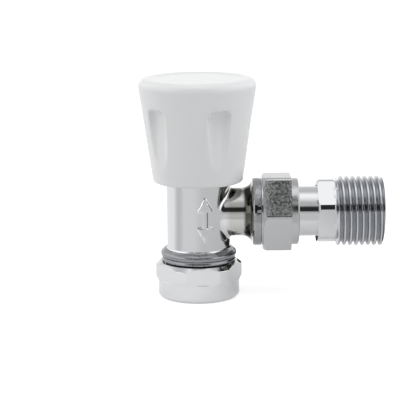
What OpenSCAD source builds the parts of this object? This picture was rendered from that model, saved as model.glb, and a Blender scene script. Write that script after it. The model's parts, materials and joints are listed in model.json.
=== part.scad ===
// Angled radiator valve, 15 mm pipe by 1/2 inch radiator, with a push-on hand wheel.
// Millimetres. The origin is on the pipe's axis, at the foot of the inlet nut. +Z runs up the
// barrel and +X runs out along the radiator tail. The valve is drawn closed.

/* [Pipe and fits] */
// Outside diameter of the copper pipe, and of the tail's plain end
pipe_d = 15; // [14.8:0.1:15.4]
// Radial room round the pipe and round the tail's plain end
pipe_room = 0.1; // [0.06:0.02:0.2]
// Radial room between a male and a female thread
thread_room = 0.1; // [0.06:0.02:0.14]
// Radial room round a turned pin, ring or stem
turning_room = 0.08; // [0.05:0.01:0.1]
// Gap left between two faces that press together
face_room = 0.05; // [0.02:0.01:0.1]

/* [Body] */
// Outside diameter of the barrel
barrel_d = 19; // [18.8:0.1:19.6]
// Height of the barrel's top face
barrel_top_z = 38.5; // [38:0.1:39]
// Height of the side outlet's axis
outlet_z = 25.6; // [25.2:0.1:26.2]
// Outside diameter of the boss that leads to the side outlet
boss_d = 14.6; // [13.6:0.1:15]
// Diameter of the waterway through the boss
outlet_bore_d = 9.4; // [8:0.1:10]
// Where the boss starts to flare into its collar, from the barrel's axis
flare_x = 14.4; // [13.4:0.1:14.6]
// Where the outlet collar starts
outlet_collar_x = 16.5; // [16:0.1:16.8]
// Width of the outlet collar
outlet_collar_w = 2.5; // [2:0.1:3]
// Diameter of the outlet collar
outlet_collar_d = 20.4; // [20:0.1:21]
// Diameter of the collar above the inlet nut
inlet_collar_d = 22.8; // [22:0.1:23.4]
// Height of the collar above the inlet nut
inlet_collar_h = 2.6; // [2.2:0.1:3]
// Bare thread between the inlet nut and its collar
inlet_nut_gap = 1.2; // [0.8:0.1:1.6]
// How far the pipe goes in, from the foot of the nut
pipe_stop_z = 15; // [14:0.1:16]
// Diameter of the port that the valve closes
port_d = 9.6; // [8.4:0.1:10]
// Height of the seat round the port
seat_z = 20; // [19.6:0.1:20.4]
// Height of the seat's ring above the chamber floor
seat_ring_h = 0.8; // [0.5:0.1:1]
// Diameter of the chamber above the seat
chamber_d = 13.2; // [13:0.1:13.8]
// Diameter of the thread that takes the bonnet
bonnet_thread_d = 15; // [14.6:0.1:15.4]
// Length of the thread that takes the bonnet
bonnet_thread_h = 6; // [5:0.1:6.6]

/* [Inlet nut] */
// Diameter of the inlet thread, G 1/2
inlet_thread_d = 20.955; // [20.8:0.005:21.1]
// Width across the inlet nut's flats
inlet_nut_af = 24; // [23.8:0.1:25]
// Diameter over the inlet nut's rounded corners
inlet_nut_corner_d = 26.1; // [25.8:0.1:27]
// Height of the inlet nut
inlet_nut_h = 10.8; // [10.4:0.1:11.4]
// Height of the inlet nut's round skirt
inlet_skirt_h = 5.6; // [5:0.1:6]
// Diameter of the skirt at its foot
inlet_skirt_d = 24.6; // [24.2:0.1:25]
// Turn of the inlet nut's first corner from the front
inlet_nut_turn = -24; // [-30:1:30]

/* [Union nut] */
// Diameter of the outlet thread
outlet_thread_d = 19; // [18.8:0.1:19.2]
// Width across the union nut's flats
union_nut_af = 22; // [21.8:0.1:23]
// Length of the union nut's hexagon
union_hex_w = 8.5; // [8:0.1:9]
// Diameter of the union nut's round collar
union_collar_d = 20.1; // [19.4:0.1:20.6]
// Width of the union nut's round collar
union_collar_w = 2.3; // [2:0.1:2.6]
// Gap between the outlet collar and the union nut
union_nut_gap = 0.3; // [0.2:0.1:0.6]
// Turn of the union nut's front corner above level
union_nut_turn = 2.8; // [-10:0.1:20]

/* [Olives] */
// Width of a compression olive
olive_w = 6; // [5.6:0.1:6.2]
// Thickness of an olive at its crown
olive_t = 0.9; // [0.7:0.05:1]
// Thickness of an olive at its ends
olive_end_t = 0.4; // [0.3:0.05:0.5]

/* [Radiator tail] */
// Outside diameter of the tail's thread, G 1/2
tail_thread_d = 20.955; // [20.8:0.005:21.1]
// Pitch of the tail's thread
tail_pitch = 1.814; // [1.7:0.002:1.9]
// Number of full turns on the tail's thread
tail_turns = 7; // [5:1:7]
// Where the tail's hexagon starts
tail_hex_x = 35.7; // [35.4:0.1:36.6]
// Width of the tail's hexagon
tail_hex_w = 5.2; // [4.6:0.1:6]
// Width across the tail's flats
tail_hex_af = 18; // [17.4:0.1:18.4]
// Turn of the tail's front corner above level
tail_hex_turn = 18; // [0:0.5:30]
// Where the tail ends
tail_end_x = 55.5; // [55.2:0.1:56.5]
// Diameter of the waterway in the tail
tail_bore_d = 12.4; // [11:0.1:12.8]

/* [Headwork] */
// Width across the bonnet's flats
bonnet_af = 17; // [16.8:0.1:18]
// Height of the bonnet's hexagon
bonnet_hex_h = 4.5; // [4:0.1:5]
// Diameter of the bonnet's round flange
bonnet_flange_d = 18.6; // [18:0.1:19]
// Thickness of the bonnet's round flange
bonnet_flange_t = 1; // [0.8:0.1:1.2]
// Thickness of the fibre washer under the flange
bonnet_seal_t = 1; // [0.8:0.1:1.2]
// Diameter of the neck above the hexagon
bonnet_neck_d = 13.8; // [13.2:0.1:14.4]
// Height of the neck above the hexagon
bonnet_neck_h = 6; // [5.8:0.1:6.2]
// Diameter of the stuffing box in the neck
gland_box_d = 10.6; // [10.2:0.1:11]
// Thickness of each brass ring in the stuffing box
gland_ring_t = 0.8; // [0.6:0.1:1]
// Thickness of the packing
packing_t = 2.4; // [2.2:0.1:2.6]
// Width across the gland nut's flats
gland_nut_af = 13; // [12.6:0.1:14]
// Height of the gland nut's head
gland_nut_h = 2.8; // [2.4:0.1:3]

/* [Spindle] */
// Diameter of the plain stem
stem_d = 6; // [5.6:0.1:6.2]
// Diameter of the spindle's thread
spindle_thread_d = 9; // [8.8:0.1:9.4]
// Length of the spindle's thread
spindle_thread_h = 7.8; // [7:0.1:8]
// Lift of the valve from closed to open
lift = 4; // [3:0.1:4]
// Height of the serrated top that drives the wheel
serration_h = 6.2; // [5:0.1:6.6]
// Number of serrations
serrations = 18; // [14:1:20]
// Depth of a serration
serration_t = 0.35; // [0.25:0.05:0.4]
// Diameter of the button that carries the jumper
button_d = 6; // [5.6:0.1:6]
// Thickness of the button
button_t = 2; // [1.6:0.1:2.2]
// Diameter of the neck above the button
button_neck_d = 4.4; // [4:0.1:4.6]
// Length of the neck above the button
button_neck_h = 1.8; // [1.6:0.1:2]

/* [Jumper and washer] */
// Diameter of the jumper's disc
jumper_d = 12.4; // [12:0.1:12.4]
// Thickness of the jumper's disc
jumper_t = 2; // [1.8:0.1:2.4]
// Diameter of the jumper's hub
jumper_hub_d = 8.6; // [8.4:0.1:8.6]
// Width of the lip round the rubber washer
jumper_lip_w = 0.45; // [0.4:0.05:0.6]
// Thickness of the rubber washer
rubber_t = 2.4; // [2.2:0.1:2.6]
// Depth of the cup that the rubber washer sits in
jumper_cup_h = 1.2; // [1:0.1:1.4]
// Wire diameter of the jumper's clip
clip_wire_d = 0.7; // [0.6:0.05:0.8]
// Diameter of the washer screw's shank
screw_d = 3; // [2.6:0.1:3.2]
// Diameter of the washer screw's head
screw_head_d = 5.5; // [5:0.1:5.8]
// Height of the washer screw's head
screw_head_h = 1.8; // [1.6:0.1:2]
// Diameter of the plain washer under the rubber
plate_d = 7.2; // [6.8:0.1:7.6]
// Thickness of the plain washer under the rubber
plate_t = 0.6; // [0.5:0.05:0.8]

/* [Hand wheel] */
// Height of the wheel's lower edge
wheel_z = 35.2; // [34.9:0.1:35.6]
// Height of the wheel
wheel_h = 31.2; // [30.6:0.1:32]
// Diameter of the wheel at its lower edge
wheel_foot_d = 26.9; // [26.6:0.1:28]
// Diameter of the wheel at its top
wheel_top_d = 35.6; // [35:0.1:36.6]
// How far the wheel's side bellies out from a straight cone
wheel_belly = 0.1; // [0.04:0.02:0.2]
// Radius of the rounded rim
wheel_rim_r = 1; // [0.8:0.1:1.6]
// Radius of the rounded lower edge
wheel_foot_r = 0.8; // [0.5:0.1:0.9]
// Depth of the shallow dish in the top
wheel_dish_t = 0.3; // [0.2:0.05:0.5]
// Wall of the wheel
wheel_wall = 2; // [1.8:0.1:2.2]
// Thickness of the wheel's top
wheel_top_t = 3; // [2.6:0.1:3.4]
// Number of finger scoops
scoops = 5; // [4:1:6]
// Turn of the first scoop from the front
scoop_turn = 23.6; // [0:0.1:72]
// Radius of the round cutter that shapes a scoop
scoop_r = 4.6; // [4:0.1:5]
// Distance from the wheel's axis to the bottom of a scoop
scoop_floor_r = 14.3; // [14:0.1:14.6]
// Height of a scoop's top above the wheel's lower edge
scoop_top_h = 23; // [22:0.1:24]
// Radius that rounds a scoop's top
scoop_round_r = 1.4; // [1:0.1:2]
// Outside diameter of the wheel's hub
hub_d = 12.6; // [12:0.1:13]
// Diameter of the slotted end of the hub
hub_grip_d = 10.4; // [10:0.1:11]
// Length of the slotted end of the hub
hub_grip_h = 3; // [2.6:0.1:3.2]
// Width of a slot in the hub
hub_slot_w = 0.8; // [0.6:0.1:1]
// Thickness of a rib between hub and wall
rib_t = 1.2; // [1:0.1:1.6]
// Thickness of the spring ring round the hub
hub_ring_t = 0.8; // [0.6:0.1:0.9]

/* [Flow mark] */
// Length of the double-headed arrow on the barrel
arrow_h = 11; // [9:0.5:12]
// Width of the arrow's heads
arrow_w = 3.6; // [3:0.1:4.4]
// How far the arrow stands out of the barrel
arrow_t = 0.3; // [0.2:0.05:0.4]
// Turn of the arrow from the front, about the barrel
arrow_turn = 6; // [0:1:20]

/* [Hidden] */
$fn = 96;

// Overshoot of a cut past the face that it leaves through
over = 1;
// Small chamfer on turned edges
chamfer = 0.5;

// Radii that fits depend on
pipe_r = pipe_d / 2;
socket_r = pipe_r + pipe_room;
barrel_r = barrel_d / 2;
boss_r = boss_d / 2;
inlet_thread_r = inlet_thread_d / 2;
outlet_thread_r = outlet_thread_d / 2;
olive_r = socket_r + olive_t;
olive_end_r = socket_r + olive_end_t;
stem_r = stem_d / 2;
spindle_thread_r = spindle_thread_d / 2;

// Both olives sit between a cone in the nut and a cone in the body
nut_lip_t = 2;
nut_cone_t = 1.6;
olive_mouth_depth = 2.8;
mouth_r = olive_r + 0.3;
olive_inset = olive_end_t + face_room;

// Heights up the pipe side
olive_z = nut_lip_t + olive_inset;
inlet_mouth_z = olive_z + olive_w - olive_mouth_depth + face_room;
inlet_collar_z = inlet_nut_h + inlet_nut_gap;
inlet_collar_top = inlet_collar_z + inlet_collar_h;
chamber_floor_z = seat_z - seat_ring_h;
seat_ring_r = port_d / 2 + 1.2;
bonnet_thread_z = barrel_top_z - bonnet_thread_h;

// Places along the outlet
union_nut_x = outlet_collar_x + outlet_collar_w + union_nut_gap;
union_nut_w = union_hex_w + union_collar_w;
union_nut_end = union_nut_x + union_nut_w;
outlet_olive_end = union_nut_end - nut_lip_t - olive_inset;
outlet_mouth_x = outlet_olive_end - olive_w + olive_mouth_depth - face_room;
outlet_stop_x = outlet_collar_x + 0.5;
spigot_tip_x = outlet_stop_x + 0.3;

// Places along the tail
tail_thread_r = tail_thread_d / 2;
tail_thread_depth = 0.64 * tail_pitch;
tail_root_r = tail_thread_r - tail_thread_depth;
crest_w = 0.18 * tail_pitch;
flank_w = (tail_pitch - 2 * crest_w) / 2;
tail_hex_end = tail_hex_x + tail_hex_w;
first_crest_x = tail_hex_end + 0.7 * tail_pitch;

// Heights up the headwork
bonnet_flange_z = barrel_top_z + bonnet_seal_t;
bonnet_hex_z = bonnet_flange_z + bonnet_flange_t;
bonnet_neck_z = bonnet_hex_z + bonnet_hex_h;
bonnet_top_z = bonnet_neck_z + bonnet_neck_h;
bonnet_foot_z = bonnet_thread_z + 1;
gland_r = gland_box_d / 2;
follower_z = bonnet_neck_z + gland_ring_t + packing_t;
gland_spigot_z = follower_z + gland_ring_t;
gland_nut_top = bonnet_top_z + gland_nut_h;
stem_bore_r = stem_r + turning_room;

// Heights down the spindle, from the shoulder that stops it when fully open
shoulder_z = bonnet_neck_z - 2;
spindle_thread_top = shoulder_z - lift - face_room;
spindle_thread_z = spindle_thread_top - spindle_thread_h;
button_top_z = spindle_thread_z - button_neck_h;
button_z = button_top_z - button_t;

// Heights of the jumper and what it carries
rubber_z = seat_z + face_room;
jumper_z = rubber_z + rubber_t;
jumper_disc_top = jumper_z + jumper_t;
jumper_socket_r = button_d / 2 + turning_room;
clip_groove_z = button_top_z + 0.2;
jumper_top_z = clip_groove_z + clip_wire_d + 0.7;
clip_in_r = button_neck_d / 2 + 0.15;
clip_out_r = jumper_socket_r + 0.5;
socket_floor_z = button_z - 0.3;
screw_tip_z = socket_floor_z - 1.2;
rubber_r = jumper_d / 2 - jumper_lip_w;

// The wheel
wheel_top_z = wheel_z + wheel_h;
wheel_foot_r0 = wheel_foot_d / 2;
wheel_top_r0 = wheel_top_d / 2;
wheel_slope = (wheel_top_r0 - wheel_foot_r0) / (wheel_h - wheel_rim_r);
belly_steps = 5;
wheel_ceiling_z = wheel_top_z - wheel_top_t;
foot_in_r = wheel_foot_r0 - wheel_wall;
ceiling_in_r = foot_in_r + wheel_slope * (wheel_ceiling_z - wheel_z);
hub_z = gland_nut_top + 0.6;
serration_z = hub_z - 0.2;
serration_top = serration_z + serration_h;
serrated_r = stem_r - 0.05;
hub_ring_r = hub_grip_d / 2 + face_room;
// The arrow's middle stands below the side boss's axis, where the flat light of the barrel is clear
arrow_z = outlet_z - 2.6;

// A turned piece about Z from radius and height pairs
module turned(points) {
    rotate_extrude() polygon(points);
}

// Lays a piece that is drawn about Z along +X, at the outlet's height
module along_outlet() {
    translate([0, 0, outlet_z]) rotate([0, 90, 0]) children();
}

// A plain ring with its foot at z
module ring(r_out, r_in, z, h) {
    translate([0, 0, z]) difference() {
        cylinder(r = r_out, h = h);
        translate([0, 0, -over]) cylinder(r = r_in, h = h + 2 * over);
    }
}

// A hexagonal bar, its first corner on -Y turned by turn
module hex_bar(af, z, h, turn = 0) {
    translate([0, 0, z]) rotate(turn - 90) cylinder(r = af / sqrt(3), h = h, $fn = 6);
}

// A hexagon whose corners are turned off by cones of 30 degrees at its two ends
module turned_hex(af, corner_r, z, h, low_r, high_r, turn = 0) {
    low_h = (corner_r - low_r) * 0.8;
    high_h = (corner_r - high_r) * 0.8;
    intersection() {
        hex_bar(af, z, h, turn);
        turned([[0, z], [low_r, z], [corner_r, z + low_h],
            [corner_r, z + h - high_h], [high_r, z + h], [0, z + h]]);
    }
}

// The hole through a compression nut: lip, cone for the olive, thread
module nut_hole(thread_r, h) {
    hole_r = thread_r + thread_room;
    turned([[0, -over], [socket_r, -over], [socket_r, nut_lip_t],
        [socket_r + nut_cone_t, nut_lip_t + nut_cone_t], [hole_r, nut_lip_t + nut_cone_t],
        [hole_r, h - chamfer], [hole_r + chamfer, h], [hole_r + chamfer, h + over], [0, h + over]]);
}

// An olive with its foot at zero
module olive() {
    crown_w = 1.6;
    slope_w = (olive_w - crown_w) / 2;
    turned([[socket_r, 0], [olive_end_r, 0], [olive_r, slope_w], [olive_r, slope_w + crown_w],
        [olive_end_r, olive_w], [socket_r, olive_w]]);
}

// Solid of the pipe side and barrel, before its holes
module barrel_solid() {
    fillet_h = 1.6;
    step = (inlet_collar_d - barrel_d) / 2;
    steps = 6;
    turned(concat(
        [[0, inlet_mouth_z], [inlet_thread_r - chamfer, inlet_mouth_z],
            [inlet_thread_r, inlet_mouth_z + chamfer], [inlet_thread_r, inlet_collar_z],
            [inlet_collar_d / 2 - 0.3, inlet_collar_z], [inlet_collar_d / 2, inlet_collar_z + 0.3],
            [inlet_collar_d / 2, inlet_collar_top - chamfer]],
        [for (i = [0:steps]) let (a = 90 * i / steps)
            [barrel_r + (step - chamfer) * (1 - sin(a)), inlet_collar_top + fillet_h * (1 - cos(a))]],
        [[barrel_r, barrel_top_z - 0.4], [barrel_r - 0.4, barrel_top_z], [0, barrel_top_z]]));
}

// Solid of the side boss with its flare, collar and thread, drawn about Z
module boss_solid() {
    flare_w = outlet_collar_x - flare_x;
    flare_r = outlet_collar_d / 2 - 0.8 - boss_r;
    root_w = 1.6;
    steps = 6;
    turned(concat(
        [[0, 0], [boss_r + root_w, 0], [boss_r + root_w, barrel_r - root_w]],
        [for (i = [0:steps]) let (a = 90 * i / steps)
            [boss_r + root_w * (1 - sin(a)), barrel_r - root_w + 2 * root_w * (1 - cos(a))]],
        [for (i = [0:steps]) let (a = 90 * i / steps)
            [boss_r + flare_r * (1 - cos(a)), flare_x + flare_w * sin(a)]],
        [[outlet_collar_d / 2 - 0.5, outlet_collar_x], [outlet_collar_d / 2, outlet_collar_x + 0.5],
            [outlet_collar_d / 2, outlet_collar_x + outlet_collar_w - 0.3],
            [outlet_collar_d / 2 - 0.3, outlet_collar_x + outlet_collar_w],
            [outlet_thread_r, outlet_collar_x + outlet_collar_w],
            [outlet_thread_r, outlet_mouth_x - chamfer], [outlet_thread_r - chamfer, outlet_mouth_x],
            [0, outlet_mouth_x]]));
}

// Pipe socket, port, seat, chamber and bonnet thread
module barrel_hole() {
    cone_r = olive_end_r + face_room;
    turned([[0, inlet_mouth_z - over], [mouth_r, inlet_mouth_z - over], [mouth_r, inlet_mouth_z],
        [cone_r, inlet_mouth_z + olive_mouth_depth], [socket_r, inlet_mouth_z + olive_mouth_depth],
        [socket_r, pipe_stop_z], [port_d / 2, pipe_stop_z], [port_d / 2, seat_z],
        [seat_ring_r, seat_z], [seat_ring_r, chamber_floor_z], [chamber_d / 2, chamber_floor_z],
        [chamber_d / 2, bonnet_thread_z], [bonnet_thread_d / 2, bonnet_thread_z + 1],
        [bonnet_thread_d / 2, barrel_top_z + over], [0, barrel_top_z + over]]);
}

// Waterway and socket of the side outlet, drawn about Z
module boss_hole() {
    cone_r = olive_end_r + face_room;
    turned([[0, 0], [outlet_bore_d / 2, 0], [outlet_bore_d / 2, outlet_stop_x],
        [socket_r, outlet_stop_x], [socket_r, outlet_mouth_x - olive_mouth_depth],
        [cone_r, outlet_mouth_x - olive_mouth_depth], [mouth_r, outlet_mouth_x],
        [mouth_r, outlet_mouth_x + over], [0, outlet_mouth_x + over]]);
}

// Double-headed arrow, drawn flat with its middle at the origin
module arrow_outline() {
    half = arrow_h / 2;
    head = arrow_w * 0.9;
    shaft = arrow_w * 0.14;
    polygon([[0, half], [-arrow_w / 2, half - head], [-shaft, half - head], [-shaft, head - half],
        [-arrow_w / 2, head - half], [0, -half], [arrow_w / 2, head - half],
        [shaft, head - half], [shaft, half - head], [arrow_w / 2, half - head]]);
}

// The arrow as a thin raised skin on the barrel
module flow_arrow() {
    intersection() {
        rotate(arrow_turn) translate([0, 0, arrow_z]) rotate([90, 0, 0])
            linear_extrude(height = barrel_d) arrow_outline();
        ring(barrel_r + arrow_t, barrel_r - arrow_t, arrow_z - arrow_h, 2 * arrow_h);
    }
}

module valve_body() {
    color("gainsboro") difference() {
        union() {
            barrel_solid();
            along_outlet() boss_solid();
            flow_arrow();
        }
        barrel_hole();
        along_outlet() boss_hole();
    }
}

module inlet_nut() {
    hex_z = inlet_skirt_h - 0.6;
    foot_r = inlet_skirt_d / 2;
    color("gainsboro") difference() {
        union() {
            turned_hex(inlet_nut_af, inlet_nut_corner_d / 2, hex_z, inlet_nut_h - hex_z,
                inlet_nut_af / 2, inlet_nut_af / 2 - 0.3, inlet_nut_turn);
            turned([[0, 0], [foot_r - 0.9, 0], [foot_r - 0.3, 0.25], [foot_r, 0.9],
                [inlet_nut_af / 2, hex_z + 0.1], [0, hex_z + 0.1]]);
        }
        nut_hole(inlet_thread_r, inlet_nut_h);
    }
}

module inlet_olive() {
    color("goldenrod") translate([0, 0, olive_z]) olive();
}

// The union nut is drawn standing on its collar, then turned to face the body
module union_nut() {
    corner_r = union_nut_af / sqrt(3);
    collar_r = union_collar_d / 2;
    color("gainsboro") translate([union_nut_end, 0, outlet_z]) rotate([0, -90, 0]) difference() {
        union() {
            turned_hex(union_nut_af, corner_r, union_collar_w, union_hex_w,
                corner_r - 0.4, corner_r - 1.4, union_nut_turn);
            turned([[0, 0], [collar_r - chamfer, 0], [collar_r, chamfer],
                [collar_r, union_collar_w + 0.1], [0, union_collar_w + 0.1]]);
        }
        nut_hole(outlet_thread_r, union_nut_w);
    }
}

module outlet_olive() {
    color("goldenrod") translate([outlet_olive_end - olive_w, 0, outlet_z]) rotate([0, 90, 0]) olive();
}

// Outline of the tail's thread, one crest at a time
module tail_thread_solid() {
    turned(concat(
        [[0, tail_hex_end - 0.1], [tail_root_r, tail_hex_end - 0.1]],
        [for (i = [0:tail_turns - 1]) let (x = first_crest_x + i * tail_pitch)
            each [[tail_root_r, x - crest_w / 2 - flank_w], [tail_thread_r, x - crest_w / 2],
                [tail_thread_r, x + crest_w / 2], [tail_root_r, x + crest_w / 2 + flank_w]]],
        [[tail_root_r, tail_end_x - 1], [tail_root_r - 1, tail_end_x], [0, tail_end_x]]));
}

module radiator_tail() {
    corner_r = tail_hex_af / sqrt(3) + 0.1;
    color("gainsboro") along_outlet() difference() {
        union() {
            turned([[0, spigot_tip_x], [pipe_r - chamfer, spigot_tip_x], [pipe_r, spigot_tip_x + chamfer],
                [pipe_r, tail_hex_x + 0.1], [0, tail_hex_x + 0.1]]);
            turned_hex(tail_hex_af, corner_r, tail_hex_x, tail_hex_w, corner_r - 0.8, corner_r - 0.3,
                -tail_hex_turn);
            tail_thread_solid();
        }
        turned([[0, 0], [tail_bore_d / 2, 0], [tail_bore_d / 2, tail_end_x - 0.6],
            [tail_bore_d / 2 + 0.6, tail_end_x], [tail_bore_d / 2 + 0.6, tail_end_x + over],
            [0, tail_end_x + over]]);
    }
}

module bonnet() {
    shank_r = bonnet_thread_d / 2 - thread_room;
    corner_r = bonnet_af / sqrt(3);
    color("goldenrod") difference() {
        union() {
            turned([[0, bonnet_foot_z], [shank_r - chamfer, bonnet_foot_z],
                [shank_r, bonnet_foot_z + chamfer], [shank_r, bonnet_flange_z],
                [bonnet_flange_d / 2, bonnet_flange_z], [bonnet_flange_d / 2, bonnet_hex_z],
                [bonnet_neck_d / 2, bonnet_hex_z], [bonnet_neck_d / 2, bonnet_top_z - chamfer],
                [bonnet_neck_d / 2 - chamfer, bonnet_top_z], [0, bonnet_top_z]]);
            turned_hex(bonnet_af, corner_r, bonnet_hex_z - 0.1, bonnet_hex_h + 0.1,
                corner_r - 0.1, corner_r - 1);
        }
        turned([[0, bonnet_foot_z - over], [spindle_thread_r + thread_room, bonnet_foot_z - over],
            [spindle_thread_r + thread_room, shoulder_z], [stem_bore_r, shoulder_z],
            [stem_bore_r, bonnet_neck_z], [gland_r, bonnet_neck_z], [gland_r, bonnet_top_z + over],
            [0, bonnet_top_z + over]]);
    }
}

module bonnet_seal() {
    color("firebrick")
        ring(bonnet_flange_d / 2, bonnet_thread_d / 2, barrel_top_z, bonnet_seal_t);
}

module gland_washer() {
    color("goldenrod")
        ring(gland_r - turning_room, stem_bore_r, bonnet_neck_z, gland_ring_t);
}

module gland_packing() {
    color("white")
        ring(gland_r - turning_room, stem_r + turning_room / 2, bonnet_neck_z + gland_ring_t, packing_t);
}

module gland_follower() {
    color("goldenrod") ring(gland_r - turning_room, stem_bore_r, follower_z, gland_ring_t);
}

module gland_nut() {
    corner_r = gland_nut_af / sqrt(3);
    color("goldenrod") difference() {
        union() {
            translate([0, 0, gland_spigot_z])
                cylinder(r = gland_r - thread_room, h = bonnet_top_z - gland_spigot_z + 0.1);
            turned_hex(gland_nut_af, corner_r, bonnet_top_z, gland_nut_h, corner_r - 0.3, corner_r - 0.8, 15);
        }
        translate([0, 0, gland_spigot_z - over])
            cylinder(r = stem_bore_r, h = gland_nut_top - gland_spigot_z + 2 * over);
    }
}

// Outline with pointed teeth that rise from r - t to r
module serrated_outline(r, t) {
    polygon([for (i = [0:2 * serrations - 1])
        let (a = 180 * i / serrations, q = r - (i % 2) * t) [q * cos(a), q * sin(a)]]);
}

module spindle() {
    color("goldenrod") union() {
        turned([[0, button_z], [button_d / 2 - 0.3, button_z], [button_d / 2, button_z + 0.3],
            [button_d / 2, button_top_z], [button_neck_d / 2, button_top_z],
            [button_neck_d / 2, spindle_thread_z], [spindle_thread_r - chamfer, spindle_thread_z],
            [spindle_thread_r, spindle_thread_z + chamfer],
            [spindle_thread_r, spindle_thread_top - chamfer],
            [spindle_thread_r - chamfer, spindle_thread_top], [stem_r, spindle_thread_top],
            [stem_r, serration_z], [0, serration_z]]);
        intersection() {
            translate([0, 0, serration_z - 0.2])
                linear_extrude(height = serration_h + 0.2) serrated_outline(serrated_r, serration_t);
            turned([[0, serration_z - over], [stem_r + over, serration_z - over],
                [stem_r + over, serration_top - over - chamfer], [stem_r - chamfer, serration_top],
                [0, serration_top]]);
        }
    }
}

module jumper() {
    disc_r = jumper_d / 2;
    color("goldenrod") difference() {
        turned([[0, jumper_z], [rubber_r, jumper_z], [rubber_r, jumper_z - jumper_cup_h],
            [disc_r, jumper_z - jumper_cup_h], [disc_r, jumper_disc_top - chamfer],
            [disc_r - chamfer, jumper_disc_top], [jumper_hub_d / 2, jumper_disc_top],
            [jumper_hub_d / 2, jumper_top_z], [0, jumper_top_z]]);
        translate([0, 0, socket_floor_z])
            cylinder(r = jumper_socket_r, h = jumper_top_z - socket_floor_z + over);
        translate([0, 0, clip_groove_z]) cylinder(r = clip_out_r + 0.1, h = clip_wire_d + 0.1);
        translate([0, 0, jumper_z - over]) cylinder(r = screw_d / 2, h = screw_tip_z - jumper_z + over + 0.3);
    }
}

// A wire ring with a gap, sprung into the groove in the jumper
module jumper_clip() {
    mid_r = (clip_in_r + clip_out_r) / 2;
    gap_angle = 40;
    color("silver") translate([0, 0, clip_groove_z + face_room]) intersection() {
        ring(clip_out_r, clip_in_r, 0, clip_wire_d);
        rotate(gap_angle / 2 + 90) rotate_extrude(angle = 360 - gap_angle)
            square([mid_r * 2, clip_wire_d]);
    }
}

module seat_washer() {
    color("dimgray") ring(rubber_r - face_room, screw_d / 2 + face_room, rubber_z, rubber_t - face_room / 2);
}

module washer_plate() {
    color("silver") ring(plate_d / 2, screw_d / 2 + face_room, rubber_z - plate_t, plate_t);
}

module washer_screw() {
    head_z = rubber_z - plate_t - screw_head_h;
    slot_w = 0.8;
    slot_depth = 0.9;
    color("goldenrod") difference() {
        turned([[0, head_z], [screw_head_d / 2 - 0.3, head_z], [screw_head_d / 2, head_z + 0.3],
            [screw_head_d / 2, rubber_z - plate_t], [screw_d / 2, rubber_z - plate_t],
            [screw_d / 2, screw_tip_z - chamfer], [screw_d / 2 - chamfer, screw_tip_z], [0, screw_tip_z]]);
        translate([-screw_head_d, -slot_w / 2, head_z - over])
            cube([2 * screw_head_d, slot_w, slot_depth + over]);
    }
}

// Places children at each finger scoop, +X pointing away from the wheel's axis
module at_scoops() {
    for (i = [0:scoops - 1]) rotate(scoop_turn - 90 + 360 / scoops * i) children();
}

// Points up a side of the wheel, between its two ends, with the belly added
function belly(r0, z0, r1, z1) = [for (i = [1:belly_steps - 1]) let (t = i / belly_steps)
    [r0 + (r1 - r0) * t + wheel_belly * sin(180 * t), z0 + (z1 - z0) * t]];

// Outer form of the wheel: a cone with a rolled rim, a dished top and a rounded foot
module wheel_solid() {
    rim_z = wheel_top_z - wheel_rim_r;
    rim_x = wheel_top_r0 - wheel_rim_r;
    foot_x = wheel_foot_r0 - wheel_foot_r;
    steps = 6;
    turned(concat(
        [[0, wheel_z]],
        [for (i = [0:steps]) let (a = 90 * i / steps)
            [foot_x + wheel_foot_r * sin(a), wheel_z + wheel_foot_r * (1 - cos(a))]],
        belly(wheel_foot_r0, wheel_z + wheel_foot_r, wheel_top_r0, rim_z),
        [for (i = [0:steps]) let (a = 90 * i / steps)
            [rim_x + wheel_rim_r * cos(a), rim_z + wheel_rim_r * sin(a)]],
        [[rim_x - 2, wheel_top_z - wheel_dish_t], [0, wheel_top_z - wheel_dish_t]]));
}

// Straight round cutter of a scoop, with a rounded top
module scoop_cutter(r, top_z, round_r) {
    axis_x = scoop_floor_r + scoop_r;
    steps = 6;
    translate([axis_x, 0, 0]) turned(concat(
        [[0, wheel_z - over], [r, wheel_z - over]],
        [for (i = [0:steps]) let (a = 90 * i / steps)
            [r - round_r * (1 - cos(a)), top_z - round_r * (1 - sin(a))]],
        [[0, top_z]]));
}

// Hollow of the wheel, which keeps a wall of even thickness behind each scoop
module wheel_hollow() {
    difference() {
        turned(concat([[0, wheel_z - over], [foot_in_r, wheel_z - over], [foot_in_r, wheel_z]],
            belly(foot_in_r, wheel_z, ceiling_in_r, wheel_ceiling_z),
            [[ceiling_in_r, wheel_ceiling_z], [0, wheel_ceiling_z]]));
        at_scoops() scoop_cutter(scoop_r + wheel_wall, wheel_z + scoop_top_h + wheel_wall,
            scoop_round_r + wheel_wall);
    }
}

// Hub with a slotted end, and its ribs out to the wall
module wheel_hub() {
    grip_r = hub_grip_d / 2;
    hub_end_z = hub_z + hub_grip_h;
    rib_z = hub_end_z + 0.6;
    rib_in_r = hub_d / 2 - 0.5;
    turned([[0, hub_z], [grip_r, hub_z], [grip_r, hub_end_z], [hub_d / 2, hub_end_z],
        [hub_d / 2, wheel_ceiling_z + 0.1], [0, wheel_ceiling_z + 0.1]]);
    for (i = [0:scoops - 1]) rotate(scoop_turn - 90 + 360 / scoops * (i + 0.5))
        translate([rib_in_r, -rib_t / 2, rib_z])
            cube([ceiling_in_r + 0.6 - rib_in_r, rib_t, wheel_ceiling_z - rib_z + 0.1]);
}

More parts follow.
